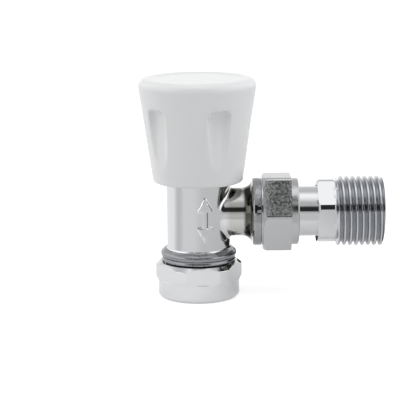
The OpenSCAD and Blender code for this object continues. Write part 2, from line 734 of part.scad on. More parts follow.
module wheelhead() {
    color("white") difference() {
        union() {
            difference() {
                wheel_solid();
                wheel_hollow();
                at_scoops() scoop_cutter(scoop_r, wheel_z + scoop_top_h, scoop_round_r);
            }
            wheel_hub();
        }
        translate([0, 0, hub_z - over]) linear_extrude(height = serration_top + 0.3 - hub_z + over)
            serrated_outline(serrated_r + turning_room, serration_t);
        for (a = [0, 90]) rotate(a) translate([-hub_grip_d / 2 - 0.5, -hub_slot_w / 2, hub_z - over])
            cube([hub_grip_d + 1, hub_slot_w, hub_grip_h + over]);
    }
}

module hub_ring() {
    color("silver") ring(hub_ring_r + hub_ring_t, hub_ring_r, hub_z + 0.3, hub_grip_h - 0.6);
}

valve_body();
inlet_nut();
inlet_olive();
union_nut();
outlet_olive();
radiator_tail();
bonnet();
bonnet_seal();
gland_washer();
gland_packing();
gland_follower();
gland_nut();
spindle();
jumper();
jumper_clip();
seat_washer();
washer_plate();
washer_screw();
wheelhead();
hub_ring();
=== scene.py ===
"""Angled radiator valve with its white hand wheel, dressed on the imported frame.

Each piece is modelled in millimetres, in the frame's own axes: the pipe's axis is Z, the radiator
tail runs out along +X, and the foot of the inlet nut stands on the floor at Z 0. to_metres() brings
a finished piece to the frame's metres.
"""

from __future__ import annotations

import json
import logging
import math
from dataclasses import dataclass, field
from enum import Enum
from typing import Any, Callable, Iterable, Sequence

import bpy
from mathutils import Matrix, Vector

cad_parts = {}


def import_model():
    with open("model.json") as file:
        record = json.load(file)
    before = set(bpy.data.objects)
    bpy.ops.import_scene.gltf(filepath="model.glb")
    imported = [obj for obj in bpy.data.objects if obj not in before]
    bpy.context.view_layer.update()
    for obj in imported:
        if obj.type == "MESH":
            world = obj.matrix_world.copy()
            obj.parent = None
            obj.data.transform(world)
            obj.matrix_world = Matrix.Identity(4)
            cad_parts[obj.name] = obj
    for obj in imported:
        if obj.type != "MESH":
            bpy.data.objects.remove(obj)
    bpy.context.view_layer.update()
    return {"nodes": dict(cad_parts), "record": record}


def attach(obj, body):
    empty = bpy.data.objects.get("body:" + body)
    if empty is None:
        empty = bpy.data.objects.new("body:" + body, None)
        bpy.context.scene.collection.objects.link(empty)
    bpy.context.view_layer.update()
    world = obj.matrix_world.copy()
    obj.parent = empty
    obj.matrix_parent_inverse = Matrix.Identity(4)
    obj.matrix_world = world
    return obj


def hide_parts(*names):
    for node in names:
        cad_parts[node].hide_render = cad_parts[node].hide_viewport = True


LOG = logging.getLogger("radiator_valve")
MM = 0.001
Piece = bpy.types.Object
Material = bpy.types.Material
Tree = bpy.types.NodeTree
Node = bpy.types.Node
Socket = bpy.types.NodeSocket
Settings = dict[str | int, Any]
# Radius, height and corner radius of a profile's corner
Corner = tuple[float, float, float]
Triple = tuple[float, float, float]
Span = tuple[float, float]

# Height of the outlet's axis, and the hole for the 15 mm pipe or spigot
OUTLET_Z = 25.6
SOCKET_R = 7.6
# Radius of the 1/2 inch BSP thread over its crests
THREAD_R = 10.4775
# Points closer than this become one, and each rounded corner has this many short edges
WELD = 0.0005
CORNER_EDGES = 5
# Length of one band of the wave texture at scale 1
BAND = 0.314


class Combine(Enum):
    """How one solid is joined to another."""

    ADD = "UNION"
    CUT = "DIFFERENCE"
    KEEP_COMMON = "INTERSECT"


class Lie(Enum):
    """The way a turned piece's axis points."""

    UPRIGHT = "upright"
    ALONG_TAIL = "along tail"
    TOWARDS_BODY = "towards body"


class Kind(Enum):
    """The kinds of node that the materials and the room are made of."""

    COORDS = "ShaderNodeTexCoord"
    SPLIT = "ShaderNodeSeparateXYZ"
    NOISE = "ShaderNodeTexNoise"
    BANDS = "ShaderNodeTexWave"
    RANGE = "ShaderNodeMapRange"
    RAMP = "ShaderNodeValToRGB"
    MATH = "ShaderNodeMath"
    VECTOR = "ShaderNodeVectorMath"
    MIX = "ShaderNodeMix"
    TINT = "ShaderNodeHueSaturation"
    BUMP = "ShaderNodeBump"
    RAY = "ShaderNodeLightPath"
    DIFFUSE = "ShaderNodeBsdfDiffuse"
    EMISSION = "ShaderNodeEmission"
    ADD_SHADER = "ShaderNodeAddShader"
    MIX_SHADER = "ShaderNodeMixShader"


def linear(hex_colour: str) -> tuple[float, float, float, float]:
    """Turns an sRGB colour into the linear one that a socket takes.

    Args:
        hex_colour: "#" and six hex digits.

    Returns:
        Red, green, blue and a full alpha.
    """
    shares = [int(hex_colour[i : i + 2], 16) / 255 for i in (1, 3, 5)]
    red, green, blue = (c / 12.92 if c <= 0.04045 else ((c + 0.055) / 1.055) ** 2.4 for c in shares)
    return red, green, blue, 1.0


def add_node(
    tree: Tree,
    kind: Kind,
    settings: Settings | None = None,
    links: dict[str | int, Socket] | None = None,
) -> Node:
    """Adds a node with its settings and its incoming links.

    Args:
        tree: the tree that gets the node.
        kind: the kind of node.
        settings: values by the name of a property, or by the name or number of an input.
        links: output sockets by the name or number of the input that takes them.

    Returns:
        The new node.
    """
    node = tree.nodes.new(kind.value)
    for name, value in (settings or {}).items():
        if isinstance(name, str) and hasattr(node, name):
            setattr(node, name, value)
        else:
            node.inputs[name].default_value = value
    for name, socket in (links or {}).items():
        tree.links.new(socket, node.inputs[name])
    return node


def ramp(node: Node, stops: Sequence[tuple[float, float | str]]) -> None:
    """Sets a colour ramp's stops.

    Args:
        node: the ramp.
        stops: place of each stop, and its linear grey level or its sRGB colour.
    """
    elements = node.color_ramp.elements
    while len(elements) > 1:
        elements.remove(elements[-1])
    for i, (at, tone) in enumerate(stops):
        element = elements[0] if i == 0 else elements.new(at)
        element.position = at
        element.color = linear(tone) if isinstance(tone, str) else (tone, tone, tone, 1.0)


def soft_step(span: Sequence[float], first: float = 0.0, last: float = 1.0) -> Settings:
    """Describes a soft step for a Map Range node.

    Args:
        span: where the step starts and ends.
        first: the level before it.
        last: the level after it.

    Returns:
        The node's settings.
    """
    return {
        "From Min": span[0],
        "From Max": span[1],
        "To Min": first,
        "To Max": last,
        "interpolation_type": "SMOOTHSTEP",
    }


def deselect() -> None:
    """Leaves edit mode, with nothing selected."""
    if bpy.context.object and bpy.context.object.mode != "OBJECT":
        bpy.ops.object.mode_set(mode="OBJECT")
    bpy.ops.object.select_all(action="DESELECT")


def only(piece: Piece) -> None:
    """Leaves one object selected and active, in object mode."""
    deselect()
    piece.select_set(True)
    bpy.context.view_layer.objects.active = piece


def start(name: str, add: Callable[..., Any], **settings: Any) -> Piece:
    """Adds a primitive with nothing else selected.

    Args:
        name: the new object's name.
        add: the operator that adds it.
        settings: the operator's settings.

    Returns:
        The new object, active.
    """
    deselect()
    add(**settings)
    piece = bpy.context.object
    piece.name = name
    piece.data.name = name
    return piece


def turn_by(degrees: float, axis: str = "Z") -> Matrix:
    """Gives a turn about an axis."""
    return Matrix.Rotation(math.radians(degrees), 4, axis)


def place(piece: Piece, matrix: Matrix | None = None) -> None:
    """Moves a piece and writes its place into its mesh.

    Args:
        piece: the piece to move.
        matrix: the move, or none to keep the piece where it is.
    """
    only(piece)
    if matrix is not None:
        piece.matrix_world = matrix @ piece.matrix_world
    bpy.ops.object.transform_apply(location=True, rotation=True, scale=True)


def lay(piece: Piece, way: Lie, end_x: float = 0.0) -> None:
    """Turns a piece that was drawn about Z so that it lies along the outlet.

    Args:
        piece: the piece to turn.
        way: where its axis points afterwards.
        end_x: where the piece's foot goes, for one that points towards the body.
    """
    if way is Lie.ALONG_TAIL:
        place(piece, Matrix.Translation((0, 0, OUTLET_Z)) @ turn_by(90, "Y"))
    elif way is Lie.TOWARDS_BODY:
        place(piece, Matrix.Translation((end_x, 0, OUTLET_Z)) @ turn_by(-90, "Y"))


def to_metres(piece: Piece) -> None:
    """Brings a piece from millimetres to the frame's metres."""
    place(piece, Matrix.Scale(MM, 4))


def dress(piece: Piece, *materials: Material) -> None:
    """Gives a piece its materials, the first one all over."""
    piece.data.materials.clear()
    for material in materials:
        piece.data.materials.append(material)


def apply_modifier(piece: Piece, kind: str, **settings: Any) -> None:
    """Adds a modifier of a kind to a piece, with its settings, and applies it."""
    only(piece)
    modifier = piece.modifiers.new(kind.title(), kind)
    for name, value in settings.items():
        setattr(modifier, name, value)
    bpy.ops.object.modifier_apply(modifier=modifier.name)


def combine(piece: Piece, tool: Piece, how: Combine) -> None:
    """Joins a tool to a piece, or cuts with it, and removes the tool. Cut faces get its material.

    Args:
        piece: the piece to change.
        tool: the other solid.
        how: add, cut or keep what both hold.
    """
    apply_modifier(
        piece, "BOOLEAN", object=tool, operation=how.value, solver="EXACT", material_mode="TRANSFER"
    )
    bpy.data.objects.remove(tool, do_unlink=True)


def rounded(corners: Sequence[Corner]) -> list[tuple[float, float]]:
    """Rounds the corners of a profile.

    Args:
        corners: radius, height and corner radius of each corner.

    Returns:
        Radius and height of each point of the rounded profile.
    """
    points: list[tuple[float, float]] = []
    for i, (r, z, size) in enumerate(corners):
        here = Vector((r, z))
        if size <= 0 or i in (0, len(corners) - 1):
            points.append((r, z))
            continue
        back = Vector(corners[i - 1][:2]) - here
        ahead = Vector(corners[i + 1][:2]) - here
        half = back.angle(ahead) / 2
        reach = min(size / math.tan(half), back.length * 0.98, ahead.length * 0.98)
        middle = here + (back.normalized() + ahead.normalized()).normalized() * (reach / math.cos(half))
        first = here + back.normalized() * reach - middle
        last = here + ahead.normalized() * reach - middle
        turn = first.angle_signed(last)
        for step in range(CORNER_EDGES + 1):
            swing = Matrix.Rotation(-turn * step / CORNER_EDGES, 2)
            point = middle + swing @ first
            points.append((point.x, point.y))
    return points


def draw(name: str, points: Sequence[Vector]) -> Piece:
    """Draws a line of edges through points.

    Args:
        name: the new object's name.
        points: the line's points, in order.

    Returns:
        The line, in edit mode with all of it selected.
    """
    piece = start(name, bpy.ops.mesh.primitive_plane_add, size=1)
    bpy.ops.object.mode_set(mode="EDIT")
    bpy.ops.mesh.select_all(action="SELECT")
    bpy.ops.mesh.merge(type="CENTER")
    bpy.ops.transform.translate(value=points[0])
    for before, after in zip(points, points[1:]):
        bpy.ops.mesh.extrude_vertices_move(TRANSFORM_OT_translate={"value": after - before})
    bpy.ops.mesh.select_all(action="SELECT")
    return piece


def close_solid() -> None:
    """Turns the faces of the mesh in edit mode outwards, and leaves edit mode."""
    bpy.ops.mesh.select_all(action="SELECT")
    bpy.ops.mesh.normals_make_consistent(inside=False)
    bpy.ops.object.mode_set(mode="OBJECT")


def turned(name: str, corners: Sequence[Corner], steps: int = 128, ring: bool = False) -> Piece:
    """Turns a profile about Z, as on a lathe.

    Args:
        name: the new object's name.
        corners: radius, height and corner radius of each corner, from one end of the piece to the other.
        steps: sides round the piece.
        ring: whether the profile closes on itself. Otherwise it is closed along the axis.

    Returns:
        A closed solid.
    """
    if ring:
        profile = [*corners, corners[0]]
    else:
        profile = [(0, corners[0][1], 0), *corners, (0, corners[-1][1], 0)]
    piece = draw(name, [Vector((r, 0, z)) for r, z in rounded(profile)])
    bpy.ops.mesh.spin(steps=steps, angle=math.tau, center=(0, 0, 0), axis=(0, 0, 1))
    bpy.ops.mesh.select_all(action="SELECT")
    bpy.ops.mesh.remove_doubles(threshold=WELD)
    close_solid()
    return piece


def block(name: str, size: Triple, matrix: Matrix) -> Piece:
    """Makes a block of a size about the origin, and moves it."""
    piece = start(name, bpy.ops.mesh.primitive_cube_add, size=1)
    place(piece, matrix @ Matrix.Diagonal((*size, 1.0)))
    return piece


def hexagon(
    name: str, across_flats: float, turn: float, corners: Sequence[Corner], edge: float, ease: float
) -> Piece:
    """Makes a hexagonal bar about Z, trims it on the lathe and eases its edges.

    Args:
        name: the new object's name.
        across_flats: width across the flats.
        turn: degrees from the front to its first corner.
        corners: the turned profile that the bar is trimmed to.
        edge: width of the rounding on each side of a long edge.
        ease: width of the rounding of the edges that the trimming leaves.

    Returns:
        The trimmed bar.
    """
    low, high = corners[0][1], corners[-1][1]
    bar = start(
        name,
        bpy.ops.mesh.primitive_cylinder_add,
        vertices=6,
        radius=across_flats / math.sqrt(3),
        depth=high - low + 4,
        location=(0, 0, (low + high) / 2),
        rotation=(0, 0, math.radians(turn)),
    )
    place(bar)
    apply_modifier(bar, "BEVEL", width=edge, segments=5, angle_limit=math.radians(50))
    combine(bar, turned("corners", corners), Combine.KEEP_COMMON)
    apply_modifier(
        bar, "BEVEL", width=ease, segments=2, angle_limit=math.radians(22), miter_outer="MITER_ARC"
    )
    return bar


@dataclass(frozen=True)
class Thread:
    """A right-hand thread about Z, of the 1/2 inch BSP size unless it is said otherwise.

    It starts with the middle of its groove at first_z, and crest_w is the width left at its crests.
    """

    first_z: float
    turns: float
    crest_w: float
    radius: float = THREAD_R
    depth: float = 1.161
    pitch: float = 1.814

    def outline(self) -> list[Vector]:
        """Draws the groove: round at the root, with its crests' edges broken."""
        mouth = (self.pitch - self.crest_w) / 2
        root = 0.08 * self.pitch
        shoulder = 0.14
        root_round = 0.12
        slope = (mouth - shoulder - root) / (self.depth - shoulder)
        half = [
            (self.radius + 0.3, mouth + 0.4),
            (self.radius, mouth),
            (self.radius - shoulder, mouth - shoulder),
            (self.radius - self.depth + root_round, root + slope * root_round),
        ]
        points = [Vector((r, 0, -z)) for r, z in half] + [Vector((self.radius - self.depth, 0, 0))]
        points += [Vector((r, 0, z)) for r, z in reversed(half)]
        return [point + Vector((0, 0, self.first_z)) for point in points]

    def cutter(self, name: str) -> Piece:
        """Makes the helical tool that cuts the thread, under a name."""
        piece = draw(name, self.outline())
        bpy.ops.mesh.edge_face_add()
        bpy.ops.mesh.delete(type="ONLY_FACE")
        bpy.ops.object.mode_set(mode="OBJECT")
        steps_a_turn = 72
        whole = math.ceil(self.turns)
        apply_modifier(
            piece,
            "SCREW",
            axis="Z",
            angle=math.tau * self.turns / whole,
            screw_offset=self.pitch * self.turns / whole,
            iterations=whole,
            steps=steps_a_turn,
            render_steps=steps_a_turn,
            use_normal_calculate=True,
        )
        bpy.ops.object.mode_set(mode="EDIT")
        bpy.ops.mesh.select_all(action="SELECT")
        bpy.ops.mesh.remove_doubles(threshold=WELD)
        bpy.ops.mesh.fill_holes(sides=0)
        close_solid()
        return piece


def soften(piece: Piece, voxel: float, passes: int) -> None:
    """Gives a solid the slightly washed-out edges of a forging or a moulding.

    Args:
        piece: the solid to soften.
        voxel: side of the cells that it is rebuilt from.
        passes: smoothing passes after that.
    """
    apply_modifier(piece, "REMESH", mode="VOXEL", voxel_size=voxel, adaptivity=0.0, use_smooth_shade=True)
    apply_modifier(piece, "SMOOTH", factor=0.5, iterations=passes)


def smooth(piece: Piece, angle: float) -> None:
    """Shades a piece smooth except at edges sharper than an angle in degrees."""
    only(piece)
    bpy.ops.object.shade_smooth_by_angle(angle=math.radians(angle))
    apply_modifier(piece, "WEIGHTED_NORMAL", keep_sharp=True, weight=60)


def begin_material(name: str) -> tuple[Material, Tree, Node]:
    """Starts a material, and gives it with its tree and its shader."""
    material = bpy.data.materials.new(name)
    material.use_nodes = True
    return material, material.node_tree, material.node_tree.nodes["Principled BSDF"]


@dataclass(frozen=True)
class ChromePlate:
    """Bright chrome plate over nickel on forged and turned brass, polished before plating.

    The plate follows every small wave that forging and buffing leave, so it is as bright as a
    mirror and a reflection in it wobbles a little.
    """

    name: str = "chrome_plate"
    colour: str = "#E4E5E7"
    roughness: float = 0.07
    wave_mm: float = 2.6
    wave_height_mm: float = 0.012
    peel_mm: float = 0.5
    peel_height_mm: float = 0.0015
    # Roughness of its clearest and its haziest places, as shares of the whole
    haze: Span = (0.8, 1.6)
    # Painted shade: places along X in millimetres with the plate's colour there, darkened where shade falls
    # between barrel and union nut
    dulled: Sequence[tuple[float, str]] = ()

    def build(self) -> Material:
        """Makes the material."""
        material, tree, shader = begin_material(self.name)
        place_on = add_node(tree, Kind.COORDS).outputs["Object"]
        shader.inputs["Base Color"].default_value = linear(self.colour)
        shader.inputs["Metallic"].default_value = 1.0
        if self.dulled:
            self.dull_boss(tree, shader, place_on)
        waves = {"Scale": 1 / (self.wave_mm * MM), "Detail": 1.0, "Roughness": 0.4}
        wave = add_node(tree, Kind.NOISE, waves, {"Vector": place_on}).outputs["Fac"]
        peels = {"Scale": 1 / (self.peel_mm * MM), "Detail": 2.0}
        peel = add_node(tree, Kind.NOISE, peels, {"Vector": place_on}).outputs["Fac"]
        clear, dim = self.roughness * self.haze[0], self.roughness * self.haze[1]
        hazes = {"From Min": 0.3, "From Max": 0.75, "To Min": clear, "To Max": dim}
        haze = add_node(tree, Kind.RANGE, hazes, {"Value": wave})
        tree.links.new(haze.outputs["Result"], shader.inputs["Roughness"])
        broad = add_node(tree, Kind.BUMP, {"Distance": self.wave_height_mm * MM}, {"Height": wave})
        both = {"Height": peel, "Normal": broad.outputs["Normal"]}
        fine = add_node(tree, Kind.BUMP, {"Distance": self.peel_height_mm * MM}, both)
        tree.links.new(fine.outputs["Normal"], shader.inputs["Normal"])
        return material

    def dull_boss(self, tree: Tree, shader: Node, place_on: Socket) -> None:
        """Paints shade on the plate past the barrel, darkest between boss and union nut, where shade and
        dark reflections fall.

        Args:
            tree: the material's node tree.
            shader: the material's shader.
            place_on: the Object coordinates.
        """
        along = add_node(tree, Kind.SPLIT, links={0: place_on}).outputs["X"]
        first, last = self.dulled[0][0], self.dulled[-1][0]
        reach = add_node(tree, Kind.RANGE, {"From Min": first * MM, "From Max": last * MM}, {"Value": along})
        shade = add_node(tree, Kind.RAMP, links={0: reach.outputs["Result"]})
        ramp(shade, [((x_mm - first) / (last - first), colour) for x_mm, colour in self.dulled])
        tree.links.new(shade.outputs["Color"], shader.inputs["Base Color"])


@dataclass(frozen=True)
class TurnedMetal:
    """Metal as it comes off the lathe: fine rings round the axis, with a soft sheen."""

    name: str
    colour: str
    roughness: float = 0.3
    ring_mm: float = 0.25
    ring_height_mm: float = 0.004
    # The stains' size, and their lightness from dark to light
    stain_mm: float = 1.6
    stain_tones: Span = (0.88, 1.08)

    def build(self) -> Material:
        """Makes the material."""
        material, tree, shader = begin_material(self.name)
        place_on = add_node(tree, Kind.COORDS).outputs["Object"]
        shader.inputs["Metallic"].default_value = 1.0
        shader.inputs["Roughness"].default_value = self.roughness
        bands = {
            "wave_type": "BANDS",
            "bands_direction": "Z",
            "Scale": BAND / (self.ring_mm * MM),
            "Distortion": 0.4,
            "Detail": 1.0,
        }
        rings = add_node(tree, Kind.BANDS, bands, {"Vector": place_on}).outputs["Fac"]
        stains = {"Scale": 1 / (self.stain_mm * MM), "Detail": 3.0}
        stain = add_node(tree, Kind.NOISE, stains, {"Vector": place_on}).outputs["Fac"]
        dark, light = self.stain_tones
        tones = {"From Min": 0.3, "From Max": 0.7, "To Min": dark, "To Max": light}
        tone = add_node(tree, Kind.RANGE, tones, {"Value": stain}).outputs["Result"]
        tint = add_node(tree, Kind.TINT, {"Color": linear(self.colour)}, {"Value": tone})
        tree.links.new(tint.outputs["Color"], shader.inputs["Base Color"])
        bump = add_node(tree, Kind.BUMP, {"Distance": self.ring_height_mm * MM}, {"Height": rings})
        tree.links.new(bump.outputs["Normal"], shader.inputs["Normal"])
        return material


@dataclass(frozen=True)
class Moulded:
    """A moulded or pressed solid with a fine grain, such as ABS, rubber, PTFE or fibre."""

    name: str
    colour: str
    roughness: float
    ior: float
    grain_mm: float
    grain_height_mm: float
    # How much darker the darkest clouds in the colour are, and their size
    mottle: float
    cloud_mm: float = 9.0
    haze: Span = (0.8, 1.2)

    def build(self) -> Material:
        """Makes the material."""
        material, tree, shader = begin_material(self.name)
        place_on = add_node(tree, Kind.COORDS).outputs["Object"]
        shader.inputs["IOR"].default_value = self.ior
        grains = {"Scale": 1 / (self.grain_mm * MM), "Detail": 2.0}
        grain = add_node(tree, Kind.NOISE, grains, {"Vector": place_on}).outputs["Fac"]
        clouds = {"Scale": 1 / (self.cloud_mm * MM), "Detail": 2.0}
        cloud = add_node(tree, Kind.NOISE, clouds, {"Vector": place_on}).outputs["Fac"]
        light = linear(self.colour)
        dark = tuple(c * (1 - self.mottle) for c in light[:3]) + (1.0,)
        tint = add_node(tree, Kind.MIX, {"data_type": "RGBA", 6: dark, 7: light}, {0: cloud})
        tree.links.new(tint.outputs[2], shader.inputs["Base Color"])
        hazes = {2: self.roughness * self.haze[0], 3: self.roughness * self.haze[1]}
        haze = add_node(tree, Kind.MIX, hazes, {0: cloud})
        tree.links.new(haze.outputs[0], shader.inputs["Roughness"])
        bump = add_node(tree, Kind.BUMP, {"Distance": self.grain_height_mm * MM}, {"Height": grain})
        tree.links.new(bump.outputs["Normal"], shader.inputs["Normal"])
        return material


def built(recipe: Callable[..., Any], *values: Any, **named: Any) -> Any:
    """Gives a field whose material is built when the finishes are made."""
    return field(default_factory=lambda: recipe(*values, **named).build())


# Painted shade along the boss: the plate's colour by X, darkest close to the union nut
BOSS_PAINTED_SHADE = (
    (8.2, "#E4E5E7"),
    (9.6, "#CFCFCC"),
    (13.4, "#CFCFCC"),
    (14.2, "#55544F"),
    (16.0, "#6E6D68"),
    (17.0, "#6E6D68"),
)


@dataclass
class Finishes:
    """Every finish of the valve. The ones that the record's slots name have the slots' names."""

    chrome_plate: Material = built(ChromePlate)
    # The body's chrome, with painted shade along the boss
    body_chrome: Material = built(ChromePlate, "chrome_on_forging", dulled=BOSS_PAINTED_SHADE)
    # The outlet collar's chrome: real broad waves from the forging, in a dark colour that is painted shade
    wavy_chrome: Material = built(
        ChromePlate, "chrome_on_rough_forging", "#A6A7AA", 0.06, 1.5, 0.2, 0.5, 0.004
    )
    # The inlet collar's rings, in chrome darkened as painted shade
    ring_chrome: Material = built(
        ChromePlate, "chrome_on_collar_rings", "#9A9B9F", 0.16, 1.2, 0.06, 0.4, 0.006
    )
    dull_chrome: Material = built(
        ChromePlate, "chrome_on_pressed_brass", "#CACBCC", 0.17, 0.7, 0.03, 0.3, 0.003
    )
    # The thread grooves' chrome is darker: painted shade in the recesses
    groove: Material = built(
        ChromePlate, "chrome_in_thread_grooves", "#C2C4C8", 0.14, 1.5, 0.01, 0.4, 0.001
    )
    bore: Material = built(TurnedMetal, "nickel_washed_bore", "#B9B29E", 0.34, 0.5)
    brass: Material = built(TurnedMetal, "turned_brass", "#C9A55C", 0.28)
    spring_steel: Material = built(TurnedMetal, "drawn_spring_steel", "#9B9DA0", 0.32)
    white_plastic: Material = built(Moulded, "glossy_white_abs", "#F4F5F6", 0.2, 1.53, 1.2, 0.0012, 0.01)
    rubber: Material = built(Moulded, "moulded_rubber", "#1E1E1F", 0.7, 1.5, 0.25, 0.006, 0.1)
    ptfe: Material = built(Moulded, "turned_ptfe", "#E6E5DF", 0.45, 1.38, 0.3, 0.003, 0.03)
    fibre: Material = built(Moulded, "vulcanised_fibre", "#8C3324", 0.62, 1.5, 0.35, 0.008, 0.18)


def drill(piece: Piece, finishes: Finishes, *holes: Piece) -> None:
    """Cuts holes into a piece and leaves them as the tool does."""
    for hole in holes:
        dress(hole, finishes.bore)
        combine(piece, hole, Combine.CUT)


def threaded(
    finishes: Finishes, name: str, corners: Sequence[Corner], thread: Thread, steps: int = 128
) -> Piece:
    """Turns a plated bar and cuts a thread into it.

    Args:
        finishes: the valve's finishes.
        name: the bar's name.
        corners: the bar's turned profile.
        thread: the thread to cut.
        steps: sides round the bar.

    Returns:
        The threaded bar, closed at both ends.
    """
    bar = turned(name, corners, steps)
    die = thread.cutter(f"{name}_die")
    dress(bar, finishes.chrome_plate)
    # The cut groove takes the die's darker chrome, painted shade in the thread
    dress(die, finishes.groove)
    combine(bar, die, Combine.CUT)
    return bar


@dataclass
class ValveBody:
    """The forged body: barrel, side boss, two collars and two male threads."""

    finishes: Finishes
    barrel_r: float = 9.5
    barrel_top: float = 38.5
    collar_r: float = 11.4
    collar_z: float = 11.2
    collar_top: float = 14.6
    groove_z: float = 12.3
    mouth_z: float = 5.7
    boss_r: float = 7.3
    # The corner between barrel and boss: its span in X, reach of its melting, core and passes
    fillet_span: Span = (3.0, 14.0)
    fillet_reach: float = 0.8
    fillet_core: float = 1.3
    fillet_passes: int = 90
    outlet_collar_x: float = 16.5
    outlet_collar_end: float = 19.0
    outlet_collar_r: float = 10.2
    outlet_thread_r: float = 9.5
    outlet_mouth_x: float = 24.4
    arrow_z: float = 25.0
    arrow_h: float = 13.0
    arrow_w: float = 4.4
    arrow_t: float = 0.5
    arrow_turn: float = 12.0
    # The cone for the olive, at both mouths
    cone_r: float = 8.8
    cone_floor_r: float = 8.05
    cone_depth: float = 2.8
    # Where the pipe and the spigot stop, and the waterway behind the spigot
    pipe_stop_z: float = 15.0
    spigot_stop_x: float = 17.0
    waterway_r: float = 4.7
    # The seat, which stands up in the chamber, and the bonnet's thread above
    seat_r: float = 4.8
    seat_rim_r: float = 6.0
    seat_z: float = 20.0
    chamber_z: float = 19.2
    chamber_r: float = 6.6
    chamber_top: float = 32.5
    bonnet_r: float = 7.5

    def forging(self) -> Piece:
        """Joins barrel and boss, washes out the corner between them and cuts the grooves."""
        r, top = self.collar_r, self.collar_top
        barrel = turned(
            "plated_body",
            [
                (r - 0.15, self.collar_z, 0.2),
                (r - 0.5, self.groove_z, 0),
                (r, self.groove_z + 0.45, 0.15),
                (r, top - 0.85, 0.3),
                (r - 0.95, top, 0.3),
                (self.barrel_r, top, 0.6),
                (self.barrel_r, self.barrel_top, 0.3),
            ],
        )
        rim, near, far = self.outlet_collar_r, self.outlet_collar_x, self.outlet_collar_end
        boss = turned(
            "boss",
            [
                (self.boss_r, 0, 0),
                (self.boss_r, near - 2.3, 2.5),
                (self.boss_r + 1.1, near - 0.8, 0.2),
                (rim - 0.4, near - 0.4, 0.3),
                (rim, near + 0.3, 0.3),
                (rim, far, 0.3),
            ],
        )
        lay(boss, Lie.ALONG_TAIL)
        combine(barrel, boss, Combine.ADD)
        combine(barrel, self.arrow(), Combine.ADD)
        soften(barrel, 0.22, 2)
        self.fillet(barrel)
        for groove in self.grooves():
            combine(barrel, groove, Combine.CUT)
        return barrel

    def fillet(self, body: Piece) -> None:
        """Melts the corner where the boss leaves the barrel, most at the corner itself."""
        group = body.vertex_groups.new(name="corner")
        for vertex in body.data.vertices:
            x, y, z = vertex.co
            off_barrel = math.hypot(x, y) - self.barrel_r
            off_boss = math.hypot(y, z - OUTLET_Z) - self.boss_r
            share = self.fillet_core - math.hypot(off_barrel, off_boss) / self.fillet_reach
            if self.fillet_span[0] < x < self.fillet_span[1] and share > 0:
                group.add([vertex.index], min(1.0, share), "REPLACE")
        apply_modifier(body, "SMOOTH", factor=0.5, iterations=self.fillet_passes, vertex_group="corner")
        body.vertex_groups.clear()

    def grooves(self) -> list[Piece]:
        """Makes the lathe's cutters for the narrow grooves in the inlet collar and before the flange."""
        r, z = self.collar_r, self.groove_z
        inlet = turned(
            "inlet_groove",
            [(r - 0.8, z + 0.08, 0), (r + 1, z - 0.2, 0), (r + 1, z + 0.55, 0), (r - 0.8, z + 0.27, 0.1)],
            ring=True,
        )
        floor_r, rim, x = self.boss_r + 0.4, self.outlet_collar_r + 1, self.outlet_collar_x
        outlet = turned(
            "outlet_groove",
            [(floor_r, x - 0.45, 0), (rim, x - 0.6, 0), (rim, x - 0.1, 0), (floor_r, x - 0.2, 0)],
            ring=True,
        )
        lay(outlet, Lie.ALONG_TAIL)
        return [inlet, outlet]

    def arrow(self) -> Piece:
        """Makes the raised double-headed arrow on the barrel's front, a little sunk into it."""
        tip, wing, shaft = self.arrow_h / 2, self.arrow_w / 2, self.arrow_w * 0.14
        neck = tip - self.arrow_w * 0.9
        right = [(0, tip), (wing, neck), (shaft, neck), (shaft, -neck), (wing, -neck)]
        outline = right + [(0, -tip)] + [(-x, z) for x, z in reversed(right[1:])]
        piece = draw("arrow", [Vector((x, -self.barrel_r - 1, z + self.arrow_z)) for x, z in outline])
        bpy.ops.mesh.edge_face_add()
        bpy.ops.mesh.extrude_region_move(TRANSFORM_OT_translate={"value": (0, 4, 0)})
        close_solid()
        skin_r = self.barrel_r + self.arrow_t
        skin = turned("skin", [(skin_r, self.arrow_z - 9, 0), (skin_r, self.arrow_z + 9, 0)], steps=192)
        combine(piece, skin, Combine.KEEP_COMMON)
        place(piece, turn_by(self.arrow_turn))
        return piece

    def thread_stubs(self) -> list[Piece]:
        """Makes the male threads that the two nuts run on."""
        inlet = threaded(
            self.finishes,
            "inlet_thread",
            [(THREAD_R, self.mouth_z, 0.7), (THREAD_R, self.groove_z, 0)],
            Thread(first_z=4.6, turns=3.9, crest_w=0.35),
        )
        r = self.outlet_thread_r
        outlet = threaded(
            self.finishes,
            "outlet_thread",
            [(r, 18.6, 0), (r, self.outlet_mouth_x, 0.6)],
            Thread(first_z=19.8, turns=3.6, crest_w=0.3, radius=r, depth=0.9, pitch=1.5),
        )
        lay(outlet, Lie.ALONG_TAIL)
        return [inlet, outlet]

    def holes(self) -> list[Piece]:
        """Makes the cutters for the pipe socket, chamber and side waterway."""
        cone_z = self.mouth_z + self.cone_depth
        barrel = turned(
            "barrel_bore",
            [
                (self.cone_r, self.mouth_z - 1, 0),
                (self.cone_r, self.mouth_z, 0),
                (self.cone_floor_r, cone_z, 0),
                (SOCKET_R, cone_z, 0),
                (SOCKET_R, self.pipe_stop_z, 0),
                (self.seat_r, self.pipe_stop_z, 0),
                (self.seat_r, self.seat_z, 0.2),
                (self.seat_rim_r, self.seat_z, 0.2),
                (self.seat_rim_r, self.chamber_z, 0.1),
                (self.chamber_r, self.chamber_z, 0.1),
                (self.chamber_r, self.chamber_top, 0),
                (self.bonnet_r, self.chamber_top + 1, 0),
                (self.bonnet_r, self.barrel_top + 1, 0),
            ],
        )
        end = self.outlet_mouth_x
        outlet = turned(
            "outlet_bore",
            [
                (self.waterway_r, 0, 0),
                (self.waterway_r, self.spigot_stop_x, 0),
                (SOCKET_R, self.spigot_stop_x, 0),
                (SOCKET_R, end - self.cone_depth, 0),
                (self.cone_floor_r, end - self.cone_depth, 0),
                (self.cone_r, end, 0),
                (self.cone_r, end + 1, 0),
            ],
        )
        lay(outlet, Lie.ALONG_TAIL)
        return [barrel, outlet]

